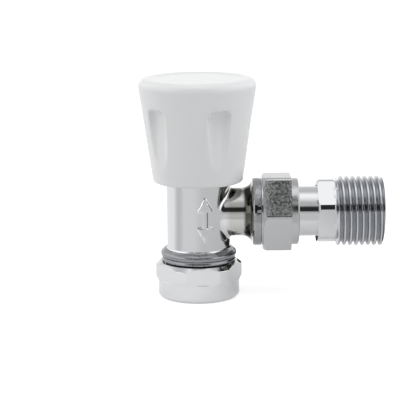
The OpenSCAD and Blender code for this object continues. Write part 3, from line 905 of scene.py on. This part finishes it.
    def build(self) -> Piece:
        """Models the body and fits it in place of its node."""
        body = self.forging()
        dress(body, self.finishes.body_chrome, self.finishes.wavy_chrome, self.finishes.ring_chrome)
        # The outlet collar and the inlet collar's rings take darker chrome, which is painted shade
        for face in body.data.polygons:
            if face.center.x > self.outlet_collar_x - 0.1:
                face.material_index = 1
            elif face.center.z < self.collar_top + 0.3 and face.center.xy.length > self.barrel_r + 0.2:
                face.material_index = 2
        for stub in self.thread_stubs():
            combine(body, stub, Combine.ADD)
        drill(body, self.finishes, *self.holes())
        smooth(body, 34)
        to_metres(body)
        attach(body, "valve")
        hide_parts("valve_body")
        return body


@dataclass
class CompressionNut:
    """A plated compression nut: hexagon with turned corners, and a round skirt or collar."""

    finishes: Finishes
    name: str
    node: str
    body: str
    across_flats: float
    turn: float
    hexagon_corners: Sequence[Corner]
    round_corners: Sequence[Corner]
    thread_r: float
    way: Lie
    plate: Material
    height: float = 10.8
    lip: float = 2.0
    cone: float = 1.6
    end_x: float = 0.0
    edge: float = 0.25
    ease: float = 0.15

    def hole(self) -> Piece:
        """Makes the cutter for the lip, the olive's cone and the thread."""
        hole_r = self.thread_r + 0.1
        return turned(
            f"{self.name}_bore",
            [
                (SOCKET_R, -1, 0),
                (SOCKET_R, self.lip, 0),
                (SOCKET_R + self.cone, self.lip + self.cone, 0),
                (hole_r, self.lip + self.cone, 0),
                (hole_r, self.height - 0.5, 0),
                (hole_r + 0.5, self.height, 0),
                (hole_r + 0.5, self.height + 1, 0),
            ],
        )

    def build(self) -> Piece:
        """Models the nut and fits it in place of its node."""
        nut = hexagon(self.name, self.across_flats, self.turn, self.hexagon_corners, self.edge, self.ease)
        combine(nut, turned("collar", self.round_corners), Combine.ADD)
        dress(nut, self.plate)
        drill(nut, self.finishes, self.hole())
        smooth(nut, 30)
        lay(nut, self.way, self.end_x)
        to_metres(nut)
        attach(nut, self.body)
        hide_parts(self.node)
        return nut


@dataclass
class RadiatorTail:
    """The tail: plain spigot, hexagon and male thread with a real helix."""

    finishes: Finishes
    pipe_r: float = 7.5
    tip_x: float = 17.3
    hex_x: float = 35.7
    hex_end: float = 40.9
    across_flats: float = 18.0
    bar_r: float = 10.0
    turn: float = -18.0
    root_r: float = 9.3165
    end_x: float = 55.5
    bore_r: float = 6.2

    def build(self) -> Piece:
        """Models the tail and fits it in place of its node."""
        hex_x, hex_end, end_x, bar_r = self.hex_x, self.hex_end, self.end_x, self.bar_r
        tail = threaded(
            self.finishes,
            "plated_tail",
            [
                (self.root_r - 0.1, hex_end - 0.5, 0),
                (self.root_r - 0.1, hex_end + 0.3, 0.2),
                (THREAD_R, hex_end + 0.95, 0.1),
                (THREAD_R, end_x - 0.5, 0.2),
                (THREAD_R - 0.5, end_x, 0.1),
            ],
            Thread(first_z=hex_end - 3.3, turns=10.4, crest_w=0.36),
            steps=144,
        )
        spigot = turned("spigot", [(self.pipe_r, self.tip_x, 0.4), (self.pipe_r, hex_x + 1, 0)])
        corners = [
            (bar_r - 0.5, hex_x, 0.1),
            (bar_r, hex_x + 0.5, 0.2),
            (bar_r, hex_end - 0.3, 0.2),
            (bar_r - 0.3, hex_end, 0.1),
        ]
        nut = hexagon("tail_hexagon", self.across_flats, self.turn, corners, edge=0.1, ease=0.18)
        for solid in (nut, spigot):
            dress(solid, self.finishes.chrome_plate)
            combine(tail, solid, Combine.ADD)
        r, flare_r = self.bore_r, self.bore_r + 0.6
        bore = turned(
            "tail_bore",
            [(r, 10, 0), (r, end_x - 0.6, 0), (flare_r, end_x, 0), (flare_r, end_x + 1, 0)],
        )
        drill(tail, self.finishes, bore)
        smooth(tail, 30)
        lay(tail, Lie.ALONG_TAIL)
        to_metres(tail)
        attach(tail, "tail")
        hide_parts("radiator_tail")
        return tail


@dataclass
class HandWheel:
    """The white wheel: a slim cone with five finger scoops, hollow below, on a slotted hub."""

    finishes: Finishes
    foot_z: float = 35.2
    top_z: float = 66.4
    foot_r: float = 13.45
    top_r: float = 17.8
    rim_r: float = 2.2
    lip: float = 1.0
    dish: float = 0.3
    wall: float = 2.0
    ceiling_z: float = 63.4
    scoops: int = 5
    scoop_turn: float = 23.6
    scoop_w: float = 7.1
    scoop_round: float = 2.0
    scoop_floor_r: float = 14.25
    scoop_top_z: float = 58.2
    # Depth of the block that cuts a scoop, and how far it runs out below the wheel
    scoop_depth: float = 12.0
    scoop_below: float = 8.0
    hub_z: float = 54.4
    hub_r: float = 5.2
    hub_root_r: float = 6.3
    hub_root_h: float = 4.0
    # Ribs between hub and wall, by length, thickness and height
    rib_size: Triple = (10.0, 1.2, 3.4)
    rib_r: float = 10.7
    teeth: int = 18
    tooth_root_r: float = 3.03
    tooth_tip_r: float = 2.68
    teeth_h: float = 7.7
    # The two crossed slots in the hub's end, by length, width and height
    slot_size: Triple = (11.4, 0.8, 4.0)

    def side_r(self, z: float) -> float:
        """Gives the cone's outer radius at a height."""
        slope = (self.top_r - self.foot_r) / (self.top_z - self.lip - self.foot_z)
        return self.foot_r + slope * (z - self.foot_z)

    def spoke(self, number: float) -> Matrix:
        """Gives the turn to a scoop, or to the rib half a step after it."""
        return turn_by(self.scoop_turn - 90 + 360 / self.scoops * number)

    def scoop(self, grown: float, number: int) -> Piece:
        """Makes the cutter of one scoop: a block with round corners and a nearly flat floor.

        Args:
            grown: how much larger it is all round than the scoop itself.
            number: which scoop.

        Returns:
            The cutter, in place.
        """
        tall = self.scoop_top_z + grown - self.foot_z + self.scoop_below
        wide = self.scoop_w + 2 * grown
        middle_r = self.scoop_floor_r - grown + self.scoop_depth / 2
        cutter = start(
            "scoop_cutter",
            bpy.ops.mesh.primitive_cube_add,
            size=1,
            location=(middle_r, 0, self.scoop_top_z + grown - tall / 2),
            scale=(self.scoop_depth, wide, tall),
        )
        place(cutter)
        apply_modifier(
            cutter, "BEVEL", width=self.scoop_round + grown * 0.5, segments=10, limit_method="NONE"
        )
        place(cutter, self.spoke(number))
        return cutter

    def shell(self) -> Piece:
        """Turns the outside, sinks the scoops and rounds their edges."""
        wheel = turned(
            "moulded_wheel",
            [
                (self.foot_r, self.foot_z, 0.6),
                (self.side_r(self.top_z), self.top_z, self.rim_r),
                (self.top_r - 3.6, self.top_z, 0.6),
                (self.top_r - 5.2, self.top_z - self.dish, 2.0),
            ],
            steps=160,
        )
        for number in range(self.scoops):
            combine(wheel, self.scoop(0.0, number), Combine.CUT)
        soften(wheel, 0.3, 16)
        return wheel

    def hollow(self) -> Piece:
        """Makes the cutter for the space under the wheel, which keeps an even wall."""
        foot_r = self.foot_r - self.wall
        space = turned(
            "wheel_space",
            [
                (foot_r, self.foot_z - 1, 0),
                (foot_r, self.foot_z, 0),
                (self.side_r(self.ceiling_z) - self.wall, self.ceiling_z, 0.5),
            ],
        )
        for number in range(self.scoops):
            combine(space, self.scoop(self.wall, number), Combine.CUT)
        return space

    def toothed_bore(self) -> Piece:
        """Makes the cutter for the bore, whose teeth grip the spindle's serration."""
        bore = start(
            "teeth",
            bpy.ops.mesh.primitive_cylinder_add,
            vertices=self.teeth * 2,
            radius=self.tooth_root_r,
            depth=self.teeth_h,
            location=(0, 0, self.hub_z - 1 + self.teeth_h / 2),
        )
        place(bore)
        step = math.pi / self.teeth
        for vertex in bore.data.vertices:
            if round(math.atan2(vertex.co.y, vertex.co.x) / step) % 2:
                vertex.co.x *= self.tooth_tip_r / self.tooth_root_r
                vertex.co.y *= self.tooth_tip_r / self.tooth_root_r
        return bore

    def hub(self) -> Piece:
        """Makes the hub with its slotted end, toothed bore and ribs."""
        root_z = self.hub_z + self.hub_root_h
        hub = turned(
            "wheel_hub",
            [
                (self.hub_r, self.hub_z, 0.2),
                (self.hub_r, root_z, 0),
                (self.hub_root_r, root_z, 0.2),
                (self.hub_root_r, self.ceiling_z + 0.5, 0),
            ],
            steps=96,
        )
        for number in range(self.scoops):
            way = self.spoke(number + 0.5) @ Matrix.Translation((self.rib_r, 0, self.ceiling_z - 1.4))
            combine(hub, block("rib", self.rib_size, way), Combine.ADD)
        combine(hub, self.toothed_bore(), Combine.CUT)
        for degrees in (0, 90):
            way = turn_by(degrees) @ Matrix.Translation((0, 0, self.hub_z + 1))
            combine(hub, block("slot", self.slot_size, way), Combine.CUT)
        return hub

    def build(self) -> Piece:
        """Models the wheel and fits it in place of its node."""
        wheel = self.shell()
        combine(wheel, self.hollow(), Combine.CUT)
        combine(wheel, self.hub(), Combine.ADD)
        dress(wheel, self.finishes.white_plastic)
        smooth(wheel, 35)
        to_metres(wheel)
        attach(wheel, "wheel_unit")
        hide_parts("wheelhead")
        return wheel


def inlet_nut(finishes: Finishes) -> CompressionNut:
    """Gives the nut on the pipe side, with its round skirt below."""
    return CompressionNut(
        finishes,
        name="plated_inlet_nut",
        node="inlet_nut",
        body="inlet_fastening",
        across_flats=24.0,
        turn=-24.0,
        hexagon_corners=[(12.15, 4.6, 0), (13.05, 6.3, 0.2), (13.05, 9.72, 0.3), (11.7, 10.8, 0)],
        round_corners=[(11.6, 0, 0.3), (12.3, 0.9, 0.6), (12.2, 5.6, 0.12)],
        thread_r=THREAD_R,
        way=Lie.UPRIGHT,
        plate=finishes.chrome_plate,
    )


def union_nut(finishes: Finishes) -> CompressionNut:
    """Gives the nut that holds the tail, with its round collar towards the tail."""
    return CompressionNut(
        finishes,
        name="plated_union_nut",
        node="union_nut",
        body="union_fastening",
        across_flats=22.0,
        turn=2.8,
        hexagon_corners=[(12.3, 2.3, 0), (12.72, 2.65, 0), (12.72, 9.7, 0), (11.3, 10.8, 0)],
        round_corners=[(10.05, 0, 0.5), (10.05, 2.6, 0)],
        thread_r=9.5,
        way=Lie.TOWARDS_BODY,
        plate=finishes.dull_chrome,
        end_x=30.1,
        edge=0.8,
    )


@dataclass
class Studio:
    """A pale sweep under a soft room: bright overhead and behind, dim in front."""

    focus: Triple = (0.54, 0.0, 29.25)
    pitch: float = 11.7
    distance: float = 462.0
    roll: float = 0.5
    lens: float = 137.7
    card: str = "#D6D6D6"
    lamp_power: float = 0.2
    lamp_size: float = 160.0
    lamp_lift: float = 65.0
    lamp_distance: float = 400.0
    lamp_aim_z: float = 55.0
    # What the floor gives to the lens, and to metal from the foot out to the tail
    lens_glow: float = 0.62
    foot_glow: Span = (0.33, 0.16)
    foot_span: Span = (-10.0, 40.0)
    # Where the glow at the foot starts and ends fading
    foot_fade: Span = (50.0, 68.0)
    side_level: float = 1.3
    # Where the room's front turns to its rear, its middle to its sides, and its backdrop to its wall
    rear_fade: Span = (-0.05, 0.1)
    side_fade: Span = (0.45, 0.75)
    backdrop_fade: Span = (0.02, 0.3)
    flag_at: Triple = (27.7, -44.5, 80.0)
    flag_size: Span = (10.0, 24.0)
    flag_lean: float = 36.0
    wing_at: Triple = (54.0, 40.0, 10.5)
    wing_size: Span = (90.0, 21.0)
    wing_turn: float = -45.0
    # Grey levels by height in the room, and by the turn round the foot
    front_levels: Sequence[Span] = (
        (0.0, 0.6),
        (0.12, 0.5),
        (0.2, 0.025),
        (0.51, 0.025),
        (0.58, 0.48),
        (0.8, 0.56),
        (0.96, 1.0),
        (1.0, 1.15),
    )
    rear_levels: Sequence[Span] = (
        (0.0, 1.0),
        (0.45, 0.68),
        (0.75, 0.6),
        (0.93, 0.6),
        (0.985, 0.95),
        (1.0, 1.15),
    )
    glow_round_foot: Sequence[Span] = (
        (0.0, 0.34),
        (0.225, 0.34),
        (0.28, 0.0),
        (0.312, 0.0),
        (0.355, 0.14),
        (0.46, 0.12),
        (0.54, 0.0),
        (0.8, 0.0),
        (1.0, 0.34),
    )

    def camera(self) -> None:
        """Sets the camera at the photograph's angle, for a square frame."""
        tilt = math.radians(self.pitch)
        look = Vector((0, math.cos(tilt), -math.sin(tilt)))
        data = bpy.data.cameras.new("studio_camera")
        data.lens = self.lens
        data.sensor_width = 36.0
        data.sensor_fit = "HORIZONTAL"
        data.clip_start = 0.01
        camera = bpy.data.objects.new("studio_camera", data)
        camera.location = (Vector(self.focus) - look * self.distance) * MM
        upright = look.to_track_quat("-Z", "Y").to_matrix().to_4x4()
        camera.rotation_euler = (upright @ turn_by(-self.roll)).to_euler()
        bpy.context.scene.collection.objects.link(camera)
        bpy.context.scene.camera = camera

    def seen_directly(self, tree: Tree) -> Socket:
        """Gives 1 where a ray shows the background itself: straight, mirrored or through glass."""
        rays = add_node(tree, Kind.RAY).outputs
        seen = rays["Is Camera Ray"]
        for ray in ("Is Glossy Ray", "Is Transmission Ray"):
            seen = add_node(tree, Kind.MATH, {"operation": "MAXIMUM"}, {0: seen, 1: rays[ray]}).outputs[0]
        return seen

    def foot_sides(self, tree: Tree, x: Socket, y: Socket) -> Socket:
        """Grades the floor's glow by the turn round the foot, from the places across and in depth."""
        out = add_node(tree, Kind.MATH, {"operation": "MULTIPLY", 1: -1.0}, {0: y}).outputs[0]
        angle = add_node(tree, Kind.MATH, {"operation": "ARCTAN2"}, {0: x, 1: out}).outputs[0]
        whole = {"From Min": -math.pi, "From Max": math.pi}
        turn = add_node(tree, Kind.RANGE, whole, {"Value": angle}).outputs["Result"]
        sides = add_node(tree, Kind.RAMP, links={0: turn})
        ramp(sides, self.glow_round_foot)
        return sides.outputs["Color"]

    def floor_glow(self, tree: Tree) -> Socket:
        """Grades the card's own glow: white to the lens, and in metal brightest at the foot and left."""
        where = add_node(tree, Kind.COORDS).outputs["Object"]
        split = add_node(tree, Kind.SPLIT, links={0: where}).outputs
        sides = self.foot_sides(tree, split["X"], split["Y"])
        slope = {
            "From Min": self.foot_span[0] * MM,
            "From Max": self.foot_span[1] * MM,
            "To Min": self.foot_glow[0],
            "To Max": self.foot_glow[1],
        }
        across = add_node(tree, Kind.RANGE, slope, {"Value": split["X"]}).outputs["Result"]
        away = add_node(tree, Kind.VECTOR, {"operation": "LENGTH"}, {0: where}).outputs["Value"]
        fade = soft_step([reach * MM for reach in self.foot_fade], 1.0, 0.0)
        near = add_node(tree, Kind.RANGE, fade, {"Value": away}).outputs["Result"]
        foot = add_node(tree, Kind.MATH, {"operation": "MULTIPLY"}, {0: across, 1: near}).outputs[0]
        mirrored = add_node(tree, Kind.MATH, {"operation": "MAXIMUM"}, {0: foot, 1: sides}).outputs[0]
        to_lens = add_node(tree, Kind.RAY).outputs["Is Camera Ray"]
        return add_node(tree, Kind.MIX, {3: self.lens_glow}, {0: to_lens, 2: mirrored}).outputs[0]

    def floor(self) -> None:
        """Lays the pale floor."""
        floor = start("sweep_floor", bpy.ops.mesh.primitive_plane_add, size=8)
        material, tree, shader = begin_material("white_card")
        tree.nodes.remove(shader)
        card = add_node(tree, Kind.DIFFUSE, {"Color": linear(self.card)}).outputs[0]
        strength = self.floor_glow(tree)
        glow = add_node(tree, Kind.EMISSION, {"Color": (1, 1, 1, 1)}, {"Strength": strength}).outputs[0]
        both = add_node(tree, Kind.ADD_SHADER, links={0: card, 1: glow}).outputs[0]
        mix = add_node(tree, Kind.MIX_SHADER, links={0: self.seen_directly(tree), 1: card, 2: both})
        tree.links.new(mix.outputs[0], tree.nodes["Material Output"].inputs["Surface"])
        dress(floor, material)

    def flag(self, name: str, at: Sequence[float], size: Sequence[float], turn: Matrix) -> None:
        """Hangs a black card out of the frame, which only the metal mirrors.

        Args:
            name: the card's name.
            at: its middle.
            size: its width and height.
            turn: its rotation.
        """
        card = start(name, bpy.ops.mesh.primitive_plane_add, size=1)
        place(card, Matrix.Translation(at) @ turn @ Matrix.Diagonal((size[0], size[1], 1.0, 1.0)))
        to_metres(card)
        material, _, shader = begin_material("black_card")
        shader.inputs["Base Color"].default_value = linear("#141414")
        shader.inputs["Roughness"].default_value = 0.9
        dress(card, material)
        card.visible_camera = False
        card.visible_diffuse = False
        card.visible_shadow = False

    def lamp(self) -> None:
        """Hangs a soft lamp above and a little ahead, for the white wheel's rim and top."""
        data = bpy.data.lights.new("overhead_lamp", "AREA")
        data.shape = "DISK"
        data.size = self.lamp_size * MM
        data.energy = self.lamp_power
        lamp = bpy.data.objects.new("overhead_lamp", data)
        lift = math.radians(self.lamp_lift)
        away = Vector((0, -math.cos(lift), math.sin(lift)))
        lamp.location = (Vector((0, 0, self.lamp_aim_z)) + away * self.lamp_distance) * MM
        lamp.rotation_euler = away.to_track_quat("Z", "Y").to_euler()
        lamp.visible_glossy = False
        bpy.context.scene.collection.objects.link(lamp)

    def room(self) -> None:
        """Makes the room's light, which chrome shows as bright and dark bands."""
        world = bpy.data.worlds.new("studio_room")
        bpy.context.scene.world = world
        world.use_nodes = True
        tree = world.node_tree
        way = add_node(tree, Kind.COORDS).outputs["Generated"]
        split = add_node(tree, Kind.SPLIT, links={0: way}).outputs
        front = add_node(tree, Kind.RAMP, links={0: split["Z"]})
        ramp(front, self.front_levels)
        rear = add_node(tree, Kind.RAMP, links={0: split["Z"]})
        ramp(rear, self.rear_levels)
        turning = soft_step(self.rear_fade)
        behind = add_node(tree, Kind.RANGE, turning, {"Value": split["Y"]}).outputs["Result"]
        parts = {0: behind, 6: front.outputs["Color"], 7: rear.outputs["Color"]}
        ends = add_node(tree, Kind.MIX, {"data_type": "RGBA"}, parts).outputs[2]
        across = add_node(tree, Kind.MATH, {"operation": "ABSOLUTE"}, {0: split["X"]}).outputs[0]
        aside = add_node(tree, Kind.RANGE, soft_step(self.side_fade), {"Value": across}).outputs["Result"]
        grey = (self.side_level, self.side_level, self.side_level, 1.0)
        room = add_node(tree, Kind.MIX, {"data_type": "RGBA", 7: grey}, {0: aside, 6: ends}).outputs[2]
        sinking = soft_step(self.backdrop_fade, 1.0, 0.0)
        low = add_node(tree, Kind.RANGE, sinking, {"Value": split["Z"]}).outputs["Result"]
        white = behind
        for share in (low, self.seen_directly(tree)):
            white = add_node(tree, Kind.MATH, {"operation": "MULTIPLY"}, {0: white, 1: share}).outputs[0]
        to_lens = add_node(tree, Kind.RAY).outputs["Is Camera Ray"]
        white = add_node(tree, Kind.MATH, {"operation": "MAXIMUM"}, {0: white, 1: to_lens}).outputs[0]
        seen = add_node(tree, Kind.MIX, {"data_type": "RGBA", 7: (1, 1, 1, 1)}, {0: white, 6: room})
        tree.links.new(seen.outputs[2], tree.nodes["Background"].inputs["Color"])

    def build(self) -> None:
        """Sets camera, floor and light, and keeps colours as they are written."""
        self.camera()
        self.floor()
        self.flag("black_flag", self.flag_at, self.flag_size, turn_by(self.flag_lean, "X"))
        self.flag("black_wing", self.wing_at, self.wing_size, turn_by(self.wing_turn) @ turn_by(90, "X"))
        self.lamp()
        self.room()
        bpy.context.scene.view_settings.view_transform = "Standard"


def dress_nodes(nodes: dict[str, Piece], record: dict[str, Any], finishes: Finishes) -> None:
    """Gives every CAD node that stays the material of its slot.

    Args:
        nodes: the CAD nodes by name.
        record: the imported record.
        finishes: the valve's finishes.
    """
    for part in record["subparts"]:
        node = nodes[part["node"]]
        material = getattr(finishes, part["material_slot"])
        for slot in node.material_slots:
            slot.material = material
        LOG.info("%s keeps its CAD form, in %s", node.name, material.name)


def main() -> None:
    """Builds the valve's visible pieces on the frame, and the studio round them."""
    logging.basicConfig(level=logging.INFO, format="%(message)s")
    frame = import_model()
    Studio().build()
    finishes = Finishes()
    dress_nodes(frame["nodes"], frame["record"], finishes)
    builders: Iterable[Any] = (
        ValveBody(finishes),
        inlet_nut(finishes),
        union_nut(finishes),
        RadiatorTail(finishes),
        HandWheel(finishes),
    )
    for builder in builders:
        piece = builder.build()
        LOG.info("%s: %d faces", piece.name, len(piece.data.polygons))


if __name__ == "__main__":
    main()
